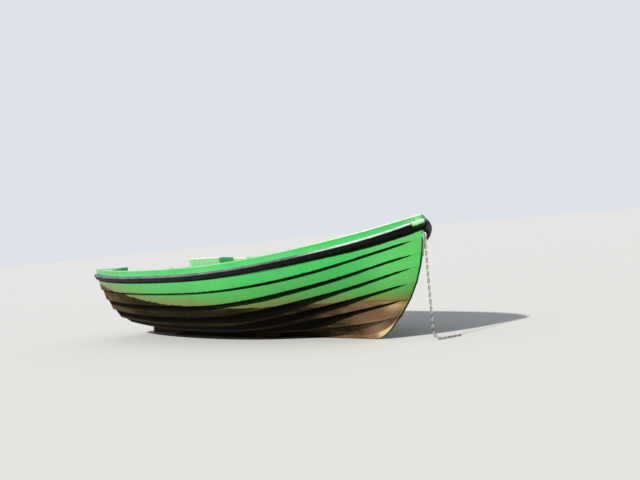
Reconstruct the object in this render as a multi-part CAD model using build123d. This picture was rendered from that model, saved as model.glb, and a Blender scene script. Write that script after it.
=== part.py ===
from build123d import *
import math
import os

# Rowing boat: a moulded hull with imitation planking, a raised gunwale and a rubber fender.
# Millimetres. x runs from the transom forward, y to port, z up from the underside of the keel.

# Main sizes
LENGTH = 3992.0          # transom to stem head, along the sheer
BEAM = 1526.0            # over the hull at the sheer
DEPTH = 561.0            # lowest height of the sheer above the keel
TRANSOM_RAKE = 8.0       # degrees that the transom leans aft

# Hull moulding
WALL = 8.0               # laminate
TRANSOM_WALL = 30.0
STEM_WALL = 42.0         # solid laminate behind the stem's face
STEM_WIDTH = 16.0
LAP = 18.0               # how far one plank stands proud of the next one below
LAP_AT_STEM = 0.5
KEEL_WIDTH = 50.0
KEEL_RUN = 3340.0        # where the keel's straight run ends and the forefoot's curve starts
KEEL_TAPER = 2960.0      # from here the keel narrows to the stem's width
RUNNER_Y = 135.0         # bilge runners, from the centreline
RUNNER_WIDTH = 32.0
RUNNER_START = 560.0
RUNNER_LENGTH = 1900.0
RUNNER_SLOPE = 170.0     # length of the sloped ends
RUNNER_HEIGHT = 110.0    # reaches up into the planking
BAND_WIDTH = 12.0        # metal band on the stem
BAND_THICK = 3.0

# Gunwale, measured from the sheer
COAMING_HEIGHT = 88.0
GUNWALE_STEP = 2.2       # what stands inside the gunwale keeps this much further in than the hull
BEAD = 8.0               # radius of its rolled top
RAIL_OUT = 18.0
RAIL_TOP = 30.0
RAIL_DROP = 3.0
RAIL_RISE = 20.0         # how much higher the rail and the fender grow towards the stem
RAIL_RISE_LENGTH = 400.0
BREASTHOOK_LENGTH = 230.0
BREASTHOOK_THICK = 10.0
FENDER_OUT = 36.0
FENDER_TOP = 36.0
FENDER_DROP = 14.0
FENDER_NOSE = 14.0       # radius of its upper corner
FENDER_FOOT = 20.0       # its outer face slants back to this at the bottom
FENDER_STOP = 45.0       # the starboard fender ends this far short of the stem head
FENDER_STOP_PORT = 2.0

# Inside
SOLE_HEIGHT = 112.0
SOLE_THICK = 12.0
SEAT_THICK = 26.0
THWART_HEIGHT = 400.0
THWART_X = 2010.0
THWART_WIDTH = 270.0
STERN_SEAT_HEIGHT = 385.0
STERN_SEAT_DEPTH = 430.0
BENCH_LENGTH = 560.0     # side benches, forward of the stern seat
BENCH_GAP = 800.0        # between the two side benches
BOW_SEAT_HEIGHT = 440.0
BOW_SEAT_X = 3020.0
PANEL = 10.0             # upright panels under the seats
NOSING = 25.0            # how far a seat reaches past the panel under it
QUARTER_LENGTH = 550.0   # moulded blocks in the stern corners
QUARTER_GAP = 1010.0     # between the two blocks
QUARTER_HEIGHT = 676.0   # of the blocks' inboard edge
QUARTER_FALL = 0.1       # slope of their tops, down towards the gunwale

# Fittings
CLEAR = 0.3
ROWLOCK_X = 1690.0
ROWLOCK_PAD = (150.0, 46.0, 60.0)
ROWLOCK_BORE = 13.0
ROWLOCK_WALL = 3.0
ROWLOCK_FLANGE = (84.0, 34.0, 4.0)
PAD_WIDTH = 300.0        # transom pads for a small motor
PAD_HEIGHT = 230.0
PAD_THICK = 18.0
PAD_STEP = 60.0          # the inner pad is this much shorter
CAP_THICK = 8.0          # moulded capping over the transom
CAP_OVERHANG = 6.0
EYE_HEIGHT = 764.0
EYE_WIRE = 9.0
EYE_HOLE = 24.0
EYE_REACH = 22.5         # the eye's centre, forward of the stem
EYE_SHANK = 7.0          # radius
SHACKLE_WIRE = 7.0
SHACKLE_INSIDE = 30.0
SHACKLE_PIN_MORE = 0.5   # the pin's radius is this much more than the bar's
SHACKLE_PLAY = 2.0       # beside the eye
SHACKLE_EAR = 8.0
LINK_WIRE = 5.5
LINK_INSIDE = 25.3
LINK_WIDTH = 20.5
CHAIN_BEND = 80.0        # radius where the hanging chain turns on to the floor
CHAIN_TAIL = 190.0       # length that lies on the floor
STERN_EYE_Y = 330.0
STERN_EYE_HEIGHT = 500.0
STERN_EYE_RADIUS = 14.0
STERN_EYE_WIRE = 8.0
STERN_EYE_BASE = (15.0, 4.0)   # radius, thickness
PLUG_RADIUS = 16.0
PLUG_FLANGE = 5.0
PLUG_LENGTH = 14.0

# Table of offsets: one row per station. x, then the half breadths and the heights of the plank
# edges, from the lowest lap up to the sheer, as drawn for a hull of the three sizes below.
LINES_LENGTH, LINES_BEAM, LINES_DEPTH = 3992.0, 1526.0, 561.0
OFFSETS = (
    (0, (128, 244, 340, 411, 463, 501, 534), (113, 143, 197, 282, 378, 475, 587)),
    (764, (164, 320, 451, 552, 623, 674, 716), (75, 103, 162, 248, 348, 451, 565)),
    (1528, (180, 346, 486, 592, 667, 717, 763), (56, 85, 144, 233, 334, 442, 561)),
    (2291, (172, 322, 457, 562, 637, 696, 750), (66, 107, 168, 253, 348, 457, 577)),
    (2960, (128, 238, 337, 421, 495, 565, 634), (102, 187, 263, 342, 430, 521, 629)),
    (3485, (84, 140, 195, 251, 321, 388, 446), (147, 260, 352, 440, 527, 611, 702)),
)
# The same edges 120 mm short of the stem, and the stem's face: x and height.
BEFORE_STEM = (120, (76, 89, 97, 108, 124, 140, 158), (154, 285, 403, 513, 609, 707, 789))
STEM_X = (3693, 3802, 3884, 3934, 3964, 3984, 3992)
STEM_Z = (196, 309, 430, 545, 640, 746, 829)
# Where the bottom planks meet the keel: x and height
RABBET = ((0, 85), (764, 45), (1528, 30), (2291, 28), (2960, 36), (3485, 68), (3575, 106), (3645, 152))
FOREFOOT = (3590, 103)   # x and height where the forefoot's curve ends
LAPS = (1.0, 1.0, 1.0, 1.0, 0.95, 0.8, 0.15)   # lap at each row, as a share of LAP

SX = LENGTH / LINES_LENGTH
SY = BEAM / LINES_BEAM
SZ = DEPTH / LINES_DEPTH
SHEER_AFT = OFFSETS[0][2][-1] * SZ


def rake(z):
    """x of the transom's outer face at height z."""
    return (SHEER_AFT - z) * math.tan(math.radians(TRANSOM_RAKE))


def plank_edge(j):
    """Corner of plank j's upper edge at every row, aft to forward, on the port side."""
    points = []
    for x, breadths, heights in OFFSETS:
        z = heights[j] * SZ
        points.append((x * SX or rake(z), breadths[j] * SY, z))
    back, breadths, heights = BEFORE_STEM
    points.append(((STEM_X[j] - back) * SX, breadths[j] * SY, heights[j] * SZ))
    points.append((STEM_X[j] * SX, STEM_WIDTH / 2, STEM_Z[j] * SZ))
    return points


def keel_half(x):
    """Half breadth of the keel."""
    share = min(max((x - KEEL_TAPER) / (RABBET[-1][0] - KEEL_TAPER), 0), 1)
    return (KEEL_WIDTH + share * (STEM_WIDTH - KEEL_WIDTH)) / 2


EDGES = [plank_edge(j) for j in range(7)]
RABBET_LINE = [(x * SX or rake(z * SZ), keel_half(x), z * SZ) for x, z in RABBET]


def outward(lower, upper):
    """Unit normal, in the section, of the plank from lower to upper."""
    dy, dz = upper[1] - lower[1], upper[2] - lower[2]
    size = math.hypot(dy, dz)
    return dz / size, -dy / size


def shifted(j, depth):
    """Plank edge j moved outwards by depth (one value for each row but the last)."""
    line = []
    for row in range(7):
        point, above = EDGES[j][row], EDGES[min(j + 1, 6)][row]
        if j == 6:
            point, above = EDGES[5][row], EDGES[6][row]
        ny, nz = outward(point, above)
        x, y, z = EDGES[j][row]
        z += nz * depth[row]
        line.append((rake(z) if row == 0 else x, y + ny * depth[row], z))
    return line


def lap_edge(j):
    """Lower edge of the plank above edge j, which stands proud of it."""
    line = shifted(j, [LAP * share for share in LAPS])
    x, y, z = EDGES[j][7]
    return line + [(x + LAP_AT_STEM, y, z - LAP_AT_STEM)]


def mirrored(line):
    return [(x, -y, z) for x, y, z in line]


def polygon(points):
    return Face(Wire.make_polygon([Vector(*p) for p in points]))


def skin(lines, strips=()):
    """Closed solid between long edges, one for each corner of its section.
    Ends named in strips (0 aft, -1 forward) aren't flat and are closed in port-starboard strips."""
    edges = [Edge.make_spline([Vector(*p) for p in line]) for line in lines]
    faces = [Face.make_surface_from_curves(a, b) for a, b in zip(edges, edges[1:] + edges[:1])]
    count = len(lines)
    for end in (0, -1):
        ring = [line[end] for line in lines]
        if end not in strips:
            faces.append(polygon(ring))
            continue
        for i in range(count // 2 - 1):
            faces.append(polygon((ring[i], ring[i + 1], ring[count - 2 - i], ring[count - 1 - i])))
    solid = Solid(Shell(faces))
    return solid if solid.volume > 0 else -solid


# Outer skin, then the space inside it

port = [RABBET_LINE, EDGES[0]]
for j in range(6):
    port += [lap_edge(j), EDGES[j + 1]]
outer = skin([mirrored(line) for line in port] + port[::-1], strips=(-1,))


def inner_line(line, above, end):
    """The wall's inner face behind the plank edge line: WALL further in, square to the skin."""
    edge = Edge.make_spline([Vector(*p) for p in line])
    other = Edge.make_spline([Vector(*p) for p in above])
    points = []
    for share in (0, 0.1, 0.2, 0.3, 0.4, 0.5, 0.6, 0.7, 0.8, 0.87, 0.93, 0.975):
        point = edge @ share
        across = (other @ share) - point
        normal = across.cross(edge % share).normalized()
        normal = normal if normal.Y > 0 else -normal
        inside = point - normal * WALL
        if share == 0:
            inside = Vector(rake(inside.Z) + TRANSOM_WALL, inside.Y, inside.Z)
        points.append((inside.X, inside.Y, inside.Z))
    return points + [(end[0] - STEM_WALL, 4, end[2])]


inner = [inner_line(RABBET_LINE, EDGES[0], RABBET_LINE[-1])]
for j in range(6):
    inner.append(inner_line(EDGES[j], EDGES[j + 1], EDGES[j][-1]))
above = [(x, 3 * y - 2 * y5, 3 * z - 2 * z5) for (x, y, z), (_, y5, z5) in zip(EDGES[6], EDGES[5])]
inner.append(inner_line(EDGES[6], above, EDGES[6][-1]))
for up in (1, 2 * COAMING_HEIGHT):
    line = [(x, y - GUNWALE_STEP, z + up) for x, y, z in inner[7]]
    x, y, z = line[0]
    inner.append([(rake(z) + TRANSOM_WALL, y, z)] + line[1:])
cavity = skin([mirrored(line) for line in inner] + inner[::-1], strips=(-1,))

# Keel and forefoot, in side view, run up inside the garboards and narrowed towards the stem
aft = rake(0.0)
start = KEEL_RUN * SX
rabbet_end = (RABBET_LINE[-1][0], RABBET_LINE[-1][2])
inside_aft = RABBET[0][1] * SZ + WALL
with BuildSketch(Plane.XZ) as side_view:
    with BuildLine():
        flat = Line((aft, 0), (start, 0))
        foot = TangentArc(flat @ 1, (FOREFOOT[0] * SX, FOREFOOT[1] * SZ), tangent=(1, 0))
        up = Line(foot @ 1, rabbet_end)
        top = Line(up @ 1, (start, RABBET[4][1] * SZ + WALL))
        back = Line(top @ 1, (rake(inside_aft), inside_aft))
        Line(back @ 1, flat @ 0)
    make_face()
keel = extrude(side_view.sketch, KEEL_WIDTH / 2, both=True)
plan = [(x * SX, keel_half(x), 0) for x in (0, KEEL_TAPER, RABBET[-1][0])]
keel &= extrude(polygon(plan + mirrored(plan)[::-1]), DEPTH, dir=(0, 0, 1))

low = [(RUNNER_START, RUNNER_HEIGHT), (RUNNER_START + RUNNER_SLOPE, 0),
       (RUNNER_START + RUNNER_LENGTH - RUNNER_SLOPE, 0), (RUNNER_START + RUNNER_LENGTH, RUNNER_HEIGHT)]
runner = extrude(polygon([(x * SX, -RUNNER_WIDTH / 2, z) for x, z in low]), RUNNER_WIDTH, dir=(0, 1, 0))

hull = outer + keel
for side in (1, -1):
    hull += Pos(0, side * RUNNER_Y, 0) * runner
hull = hull - cavity
hull = hull.solids().sort_by(SortBy.VOLUME)[-1]

# Gunwale and fender: profiles carried along the sheer
sheer = Edge.make_spline([Vector(*p) for p in EDGES[6]])


def sheer_at(x):
    """Point on the port sheer at x, and the horizontal unit normal there."""
    low, high = 0.0, 1.0
    for _ in range(40):
        middle = (low + high) / 2
        if (sheer @ middle).X < x:
            low = middle
        else:
            high = middle
    tangent = sheer % low
    size = math.hypot(tangent.X, tangent.Y)
    return sheer @ low, (-tangent.Y / size, tangent.X / size)


def along_sheer(profile, xs, side, to_centre=False):
    """Solid with a flat profile carried along the sheer through the places xs. Each corner of the
    profile is outwards, up, and its share of the rise towards the stem. The solid starts on the
    transom's plane. to_centre ends it on the centreline, ahead of the stem."""
    lines = [[] for _ in profile]
    for row, x in enumerate(xs):
        point, (nx, ny) = sheer_at(x)
        rise = RAIL_RISE * max(1 - (STEM_X[6] * SX - x) / RAIL_RISE_LENGTH, 0) ** 2
        for line, (out, up, share) in zip(lines, profile):
            z = point.Z + up + share * rise
            if row == 0:
                line.append((rake(z), point.Y + out, z))
            else:
                line.append((point.X + nx * out, point.Y + ny * out, z))
    if to_centre:
        point, (nx, ny) = sheer_at(STEM_X[6] * SX - 1)
        top = point.Z + point.Y * (sheer % 1).Z / -(sheer % 1).Y
        for line, (out, up, share) in zip(lines, profile):
            line.append((point.X + (out + point.Y * ny) / nx, 0.0, top + up + share * RAIL_RISE))
    lines = [[(x, side * y, z) for x, y, z in line] for line in lines]
    return skin(lines)


def rounded(centre_out, centre_up, radius, start, end, steps):
    """Points of an arc, angles in degrees."""
    arc = []
    for i in range(steps + 1):
        angle = math.radians(start + (end - start) * i / steps)
        arc.append((centre_out + radius * math.cos(angle), centre_up + radius * math.sin(angle)))
    return arc


ROWS = [0, 380, 764, 1528, 2291, 2960, 3300, 3485, 3640, 3780, 3880, 3950]
BEAD_ARC = rounded(-WALL / 2, COAMING_HEIGHT - BEAD, BEAD, -30, 210, 6)
GUNWALE = [(0.0, -RAIL_DROP, 0), (RAIL_OUT, -RAIL_DROP, 0), (RAIL_OUT, RAIL_TOP, 1), (0.0, RAIL_TOP, 1)]
GUNWALE += [(out, up, 0) for out, up in BEAD_ARC]
GUNWALE += [(-WALL, 0.0, 0), (0.0, 0.0, 0)]

# The fender is hollow over the rail. Its outer face runs round the upper corner and slants back.
centre = (FENDER_OUT - FENDER_NOSE, FENDER_TOP - FENDER_NOSE)
foot_out, foot_up = FENDER_FOOT - centre[0], -FENDER_DROP - centre[1]
reach = math.hypot(foot_out, foot_up)
lowest = math.degrees(math.atan2(foot_up, foot_out) + math.acos(FENDER_NOSE / reach))
FENDER = [(CLEAR, -FENDER_DROP, 0), (FENDER_FOOT, -FENDER_DROP, 0)]
FENDER += [(out, up, 1) for out, up in rounded(*centre, FENDER_NOSE, lowest, 90, 6)]
FENDER += [(CLEAR, FENDER_TOP, 1), (CLEAR, RAIL_TOP + CLEAR, 1), (RAIL_OUT + CLEAR, RAIL_TOP + CLEAR, 1),
           (RAIL_OUT + CLEAR, -RAIL_DROP - CLEAR, 0), (CLEAR, -RAIL_DROP - CLEAR, 0)]
parts = {"hull_shell": hull}
for name, side, stop in (("port", 1, FENDER_STOP_PORT), ("starboard", -1, FENDER_STOP)):
    parts["gunwale_" + name] = along_sheer(GUNWALE, [x * SX for x in ROWS], side, to_centre=True)
    point, (nx, ny) = sheer_at(STEM_X[6] * SX - stop)
    turn = math.degrees(math.atan2(-nx, ny))
    ahead = Pos(point.X, side * point.Y, point.Z) * Rot(0, 0, side * turn)
    ahead = ahead * Box(LENGTH, BEAM, DEPTH, align=(Align.MIN, Align.CENTER, Align.CENTER))
    whole = along_sheer(FENDER, [x * SX for x in ROWS], side, to_centre=True)
    parts["fender_" + name] = (whole - ahead).solids().sort_by(SortBy.VOLUME)[-1]

# Inside: everything is trimmed to the space inside the hull


def slab(x, length, width, z, thick):
    block = Box(length, width, thick, align=(Align.MIN, Align.CENTER, Align.MAX))
    return Pos(x, 0, z) * block


sole_start = rake(SOLE_HEIGHT) + TRANSOM_WALL
parts["sole"] = slab(sole_start, LENGTH, BEAM, SOLE_HEIGHT, SOLE_THICK) & cavity

parts["rowing_thwart"] = slab(THWART_X, THWART_WIDTH, BEAM, THWART_HEIGHT, SEAT_THICK) & cavity
under = THWART_HEIGHT - SEAT_THICK
tall = under - SOLE_HEIGHT
inset = NOSING + PANEL
box = slab(THWART_X + NOSING, THWART_WIDTH - 2 * NOSING, BEAM, under, tall)
box -= slab(THWART_X + inset, THWART_WIDTH - 2 * inset, BEAM, under - PANEL, tall - PANEL)
parts["thwart_box"] = box & cavity

# The stern seat runs into side benches; its locker has a panel along the whole free edge.
seat_end = STERN_SEAT_DEPTH + BENCH_LENGTH
seat = slab(0, seat_end, BEAM, STERN_SEAT_HEIGHT, SEAT_THICK)
seat -= slab(STERN_SEAT_DEPTH, seat_end, BENCH_GAP, STERN_SEAT_HEIGHT, SEAT_THICK)
parts["stern_seat"] = seat & cavity
under = STERN_SEAT_HEIGHT - SEAT_THICK
tall = under - SOLE_HEIGHT
locker = slab(0, seat_end - NOSING, BEAM, under, tall)
locker -= slab(STERN_SEAT_DEPTH - NOSING, seat_end, BENCH_GAP + 2 * NOSING, under, tall)
hollow = slab(0, seat_end - inset, BEAM, under, tall)
hollow -= slab(STERN_SEAT_DEPTH - inset, seat_end, BENCH_GAP + 2 * inset, under, tall)
parts["stern_locker"] = (locker - hollow) & cavity

bow_x = BOW_SEAT_X * SX
parts["bow_seat"] = slab(bow_x, LENGTH - bow_x, BEAM, BOW_SEAT_HEIGHT, SEAT_THICK) & cavity
under = BOW_SEAT_HEIGHT - SEAT_THICK
parts["bow_bulkhead"] = slab(bow_x + NOSING, PANEL, BEAM, under, under - SOLE_HEIGHT) & cavity

# Blocks in the stern corners, from the seat up past the gunwale's bead, with a post on the transom
inboard, outboard = QUARTER_GAP / 2, BEAM / 2
outer_top = QUARTER_HEIGHT - QUARTER_FALL * (outboard - inboard)
corner = EDGES[6][0][1] - WALL / 2 - BEAD - CLEAR - inboard
for name, side in (("port", 1), ("starboard", -1)):
    section = [(0, side * inboard, STERN_SEAT_HEIGHT), (0, side * inboard, QUARTER_HEIGHT),
               (0, side * outboard, outer_top), (0, side * outboard, STERN_SEAT_HEIGHT)]
    block = extrude(polygon(section), QUARTER_LENGTH, dir=(1, 0, 0))
    post = Box(2 * TRANSOM_WALL, corner, DEPTH, align=(Align.MIN, Align.CENTER, Align.MIN))
    post = Pos(0, side * (inboard + corner / 2), SHEER_AFT) * post
    block = (block & cavity) + (block & post) - parts["gunwale_" + name]
    parts["quarter_" + name] = block.solids().sort_by(SortBy.VOLUME)[-1]

# Breasthook between the gunwales at the bow
hook = []
for drop in (BEAD + BREASTHOOK_THICK, BEAD):
    line = []
    for back in (BREASTHOOK_LENGTH, BREASTHOOK_LENGTH / 2, 70.0, 36.0):
        point, (nx, ny) = sheer_at(STEM_X[6] * SX - back)
        inset = WALL - 1
        line.append((point.X - nx * inset, point.Y - ny * inset, point.Z + COAMING_HEIGHT - drop))
    hook.append(line)
hook = skin([mirrored(hook[0]), mirrored(hook[1]), hook[1], hook[0]])
hook = hook - parts["gunwale_port"] - parts["gunwale_starboard"]
parts["breasthook"] = hook.solids().sort_by(SortBy.VOLUME)[-1]

# Capping and pads on the transom
slope = Rot(0, -TRANSOM_RAKE, 0)
width = QUARTER_GAP - 2 * CLEAR
cap_length = TRANSOM_WALL + 2 * CAP_OVERHANG
cap = Box(cap_length, width, CAP_THICK, align=(Align.MIN, Align.CENTER, Align.MIN))
parts["transom_cap"] = Pos(-CAP_OVERHANG, 0, SHEER_AFT) * cap
pad = Box(PAD_THICK, PAD_WIDTH, PAD_HEIGHT, align=(Align.MAX, Align.CENTER, Align.MAX))
pad = chamfer(pad.faces().sort_by(Axis.X)[0].edges(), 4)
parts["transom_pad_outer"] = Pos(-CLEAR, 0, SHEER_AFT - CLEAR) * slope * pad
pad = Box(PAD_THICK, PAD_WIDTH, PAD_HEIGHT - PAD_STEP, align=(Align.MIN, Align.CENTER, Align.MAX))
top_z = SHEER_AFT - PAD_THICK / 4
top_x = rake(top_z) + TRANSOM_WALL + 2 * CLEAR
parts["transom_pad_inner"] = Pos(top_x, 0, top_z) * slope * pad

# Rowlock pads under the gunwale's bead, with a steel socket let into each
long, wide, deep = ROWLOCK_PAD
for name, side in (("port", 1), ("starboard", -1)):
    point, (nx, ny) = sheer_at(ROWLOCK_X)
    turn = math.degrees(math.atan2(-nx, ny)) * side
    place = Pos(point.X, side * point.Y, point.Z + COAMING_HEIGHT) * Rot(0, 0, turn)
    place = place * Pos(0, -side * (WALL + CLEAR + wide / 2), 0)
    block = Box(long, wide, deep, align=(Align.CENTER, Align.CENTER, Align.MAX))
    socket_r = ROWLOCK_BORE / 2 + ROWLOCK_WALL
    block -= Cylinder(socket_r + CLEAR, 3 * deep)
    parts["rowlock_pad_" + name] = place * block - parts["gunwale_" + name]
    plate_long, plate_wide, plate = ROWLOCK_FLANGE
    socket = Box(plate_long, plate_wide, plate, align=(Align.CENTER, Align.CENTER, Align.MIN))
    socket += Cylinder(socket_r, deep, align=(Align.CENTER, Align.CENTER, Align.MAX))
    socket -= Cylinder(ROWLOCK_BORE / 2, 3 * deep)
    parts["rowlock_socket_" + name] = place * socket

# Stem band: a strip bent round the forefoot and up the stem, let into the hull behind it
foot_point = (FOREFOOT[0] * SX, FOREFOOT[1] * SZ)
front = [(p.X, p.Y) for p in (foot @ share for share in (0.4, 0.6, 0.8))] + [foot_point, rabbet_end]
front += [(STEM_X[j] * SX, STEM_Z[j] * SZ) for j in range(5)]
ahead = []
for i, (x, z) in enumerate(front):
    x0, z0 = front[max(i - 1, 0)]
    x1, z1 = front[min(i + 1, len(front) - 1)]
    size = math.hypot(x1 - x0, z1 - z0)
    ahead.append((x + BAND_THICK * (z1 - z0) / size, z - BAND_THICK * (x1 - x0) / size))
band = polygon([(x, -BAND_WIDTH / 2, z) for x, z in front + ahead[::-1]])
parts["stem_band"] = extrude(band, BAND_WIDTH, dir=(0, 1, 0)) - hull

# Bow eye on the stem, the shackle in it and the chain below


def stem_face(z):
    """x of the stem's face at height z."""
    for j in range(6):
        low, high = STEM_Z[j] * SZ, STEM_Z[j + 1] * SZ
        if low <= z <= high:
            share = (z - low) / (high - low)
            return (STEM_X[j] + share * (STEM_X[j + 1] - STEM_X[j])) * SX


def tube_loop(points, normal, radius, sides):
    """Closed bar with flat facets round a flat loop of points."""
    rings = []
    count = len(points)
    normal = Vector(*normal)
    for i, point in enumerate(points):
        before = (point - points[i - 1]).normalized()
        after = (points[(i + 1) % count] - point).normalized()
        along = (before + after).normalized()
        out = along.cross(normal)
        stretch = 1 / along.dot(after)
        ring = []
        for k in range(sides):
            angle = 2 * math.pi * (k + 0.5) / sides
            ring.append(point + out * (radius * stretch * math.cos(angle)) + normal * (radius * math.sin(angle)))
        rings.append(ring)
    faces = []
    for i in range(count):
        here, there = rings[i], rings[(i + 1) % count]
        for k in range(sides):
            n = (k + 1) % sides
            faces.append(Face(Wire.make_polygon([here[k], here[n], there[n], there[k]])))
    solid = Solid(Shell(faces))
    return solid if solid.volume > 0 else -solid


eye_face = stem_face(EYE_HEIGHT)
eye_x = eye_face + EYE_REACH
ring_radius = (EYE_HOLE + EYE_WIRE) / 2
eye = Pos(eye_x, 0, EYE_HEIGHT) * Rot(90, 0, 0) * Torus(ring_radius, EYE_WIRE / 2)
shank_length = EYE_REACH - ring_radius + EYE_SHANK
shank = Cylinder(EYE_SHANK, shank_length, align=(Align.CENTER, Align.CENTER, Align.MIN))
shank = Pos(eye_face - EYE_SHANK, 0, EYE_HEIGHT) * Rot(0, 90, 0) * shank - hull
parts["bow_eye"] = eye + shank.solids().sort_by(Axis.X)[-1]

pin = SHACKLE_WIRE / 2 + SHACKLE_PIN_MORE
pin_z = EYE_HEIGHT - EYE_HOLE / 2 + pin + CLEAR
legs_y = EYE_WIRE / 2 + CLEAR + SHACKLE_PLAY + SHACKLE_WIRE / 2
bow_z = pin_z - SHACKLE_INSIDE
pin_length = 2 * (legs_y + SHACKLE_EAR)
shackle = Pos(eye_x, 0, pin_z) * Rot(90, 0, 0) * Cylinder(pin, pin_length)
for side in (1, -1):
    leg = Cylinder(SHACKLE_WIRE / 2, SHACKLE_INSIDE, align=(Align.CENTER, Align.CENTER, Align.MAX))
    shackle += Pos(eye_x, side * legs_y, pin_z) * leg
    shackle += Pos(eye_x, side * legs_y, pin_z) * Rot(90, 0, 0) * Cylinder(SHACKLE_WIRE, SHACKLE_EAR)
bend = Pos(eye_x, 0, bow_z) * Rot(0, 90, 0) * Torus(legs_y, SHACKLE_WIRE / 2)
reach = 2 * SHACKLE_INSIDE
bend &= Pos(eye_x, 0, bow_z) * Box(reach, reach, reach, align=(Align.CENTER, Align.CENTER, Align.MAX))
parts["shackle"] = shackle + bend

half_long = LINK_INSIDE / 2 + LINK_WIRE / 2
half_wide = LINK_WIDTH / 2 - LINK_WIRE / 2
ends = []
for centre, start_angle in ((half_long - half_wide, -90), (half_wide - half_long, 90)):
    for out, up in rounded(0, 0, half_wide, start_angle, start_angle + 180, 4):
        ends.append(Vector(centre + out, up, 0))
link = tube_loop(ends, (0, 0, 1), LINK_WIRE / 2, 6)
pitch = LINK_INSIDE - CLEAR
first_z = bow_z - legs_y + SHACKLE_WIRE / 2 + LINK_WIRE / 2 + CLEAR - half_long
lie = half_wide * math.sin(math.radians(45)) + LINK_WIRE / 2 / math.cos(math.radians(30)) + CLEAR
drop = first_z - lie - CHAIN_BEND
corner = CHAIN_BEND * math.pi / 2
links = []
distance = 0.0
while distance < drop + corner + CHAIN_TAIL:
    if distance < drop:
        spot, tilt, spin = Vector(eye_x, 0, first_z - distance), 90.0, 0.0
    else:
        swept = min((distance - drop) / CHAIN_BEND, math.pi / 2)
        run = max(distance - drop - corner, 0.0)
        tilt = 90.0 - math.degrees(swept)
        spin = 45.0 * swept / (math.pi / 2)
        spot = Vector(eye_x, CHAIN_BEND * (1 - math.cos(swept)) + run,
                      lie + CHAIN_BEND * (1 - math.sin(swept)))
    roll = 90 * (len(links) % 2) + spin
    links.append(Pos(*spot) * Rot(-tilt, 0, 0) * Rot(0, 0, 90) * Rot(roll, 0, 0) * link)
    distance += pitch
parts["chain"] = Compound(links)

# Stern eyes and the drain plug
base_radius, base_thick = STERN_EYE_BASE
for name, side in (("port", 1), ("starboard", -1)):
    eye = Rot(90, 0, 0) * Torus(STERN_EYE_RADIUS, STERN_EYE_WIRE / 2)
    base = Cylinder(base_radius, base_thick, align=(Align.CENTER, Align.CENTER, Align.MIN))
    eye += Pos(STERN_EYE_RADIUS, 0, 0) * Rot(0, -90, 0) * base
    beyond = Box(STERN_EYE_WIRE, 4 * base_radius, 4 * base_radius, align=(Align.MIN, Align.CENTER, Align.CENTER))
    eye -= Pos(STERN_EYE_RADIUS, 0, 0) * beyond
    at = rake(STERN_EYE_HEIGHT) - STERN_EYE_RADIUS - CLEAR
    parts["stern_eye_" + name] = Pos(at, side * STERN_EYE_Y, STERN_EYE_HEIGHT) * slope * eye
plug = Cylinder(PLUG_RADIUS, PLUG_FLANGE, align=(Align.CENTER, Align.CENTER, Align.MIN))
plug += Cylinder(PLUG_RADIUS / 2, PLUG_LENGTH, align=(Align.CENTER, Align.CENTER, Align.MIN))
plug_z = SOLE_HEIGHT + 2 * PLUG_RADIUS
parts["drain_plug"] = Pos(rake(plug_z) - CLEAR, 0, plug_z) * slope * Rot(0, -90, 0) * plug

boxes = [part.bounding_box() for part in parts.values()]
middle_x = (min(box.min.X for box in boxes) + max(box.max.X for box in boxes)) / 2
print("moved by", -middle_x)
os.makedirs("parts", exist_ok=True)
for name, part in parts.items():
    box = part.bounding_box()
    corners = [round(v, 1) for v in (*box.min, *box.max)]
    print(name, part.is_valid, round(part.volume / 1e6, 3), len(part.solids()), corners)
    export_step(Pos(-middle_x, 0, 0) * part, f"parts/{name}.step")
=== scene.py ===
import math

import bmesh
import bpy
import numpy as np
from mathutils import Matrix, Vector


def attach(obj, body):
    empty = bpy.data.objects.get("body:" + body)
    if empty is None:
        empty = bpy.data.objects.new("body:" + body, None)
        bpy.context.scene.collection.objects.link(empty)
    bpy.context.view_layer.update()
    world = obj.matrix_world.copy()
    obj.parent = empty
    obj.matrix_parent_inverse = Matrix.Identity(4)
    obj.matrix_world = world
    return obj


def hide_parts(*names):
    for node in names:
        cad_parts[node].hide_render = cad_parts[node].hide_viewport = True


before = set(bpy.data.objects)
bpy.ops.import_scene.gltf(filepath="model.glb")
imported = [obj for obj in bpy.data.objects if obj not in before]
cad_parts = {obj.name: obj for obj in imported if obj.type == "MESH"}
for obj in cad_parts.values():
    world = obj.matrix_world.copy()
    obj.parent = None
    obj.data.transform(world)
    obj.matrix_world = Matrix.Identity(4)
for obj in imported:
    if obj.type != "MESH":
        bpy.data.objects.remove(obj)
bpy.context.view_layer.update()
BODY = "root"

# The frame has its x from the middle of the part, forward, in metres.
# The sizes below are the part's own, with x from the transom, in millimetres.
MIDDLE_X = 2004.581
MM = 0.001

TRANSOM_RAKE = 8.0
WALL = 8.0
TRANSOM_WALL = 30.0
STEM_WALL = 42.0
STEM_WIDTH = 16.0
LAP = 18.0
LAP_AT_STEM = 0.5
LAP_ROUND = 3.5
PLANK_ROUND = 1.5
TRANSOM_ROUND = 7.0
TRANSOM_MIDDLE = 330.0
STEM_ROUND = 6.0
COAMING_HEIGHT = 88.0
BEAD = 8.0
RAIL_OUT = 18.0
RAIL_TOP = 30.0
RAIL_DROP = 3.0
RAIL_RISE = 20.0
RAIL_RISE_LENGTH = 400.0
RAIL_FOOT_ROUND = 3.0
RAIL_ROUND = 6.0
RAIL_HOLLOW = 4.0
BOW_ROUND = 14.0
FENDER_OUT = 36.0
FENDER_TOP = 36.0
FENDER_DROP = 14.0
FENDER_NOSE = 14.0
FENDER_FOOT = 20.0
FENDER_FOOT_ROUND = 3.0
FENDER_FIT = 0.4
FENDER_STOP = {"starboard": 45.0, "port": 2.0}
KEEL_WIDTH = 50.0
KEEL_RUN = 3340.0
KEEL_TAPER = 2960.0
KEEL_ROUND = 5.0
FOREFOOT = (3590.0, 103.0)
RUNNER_Y = 135.0
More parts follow.
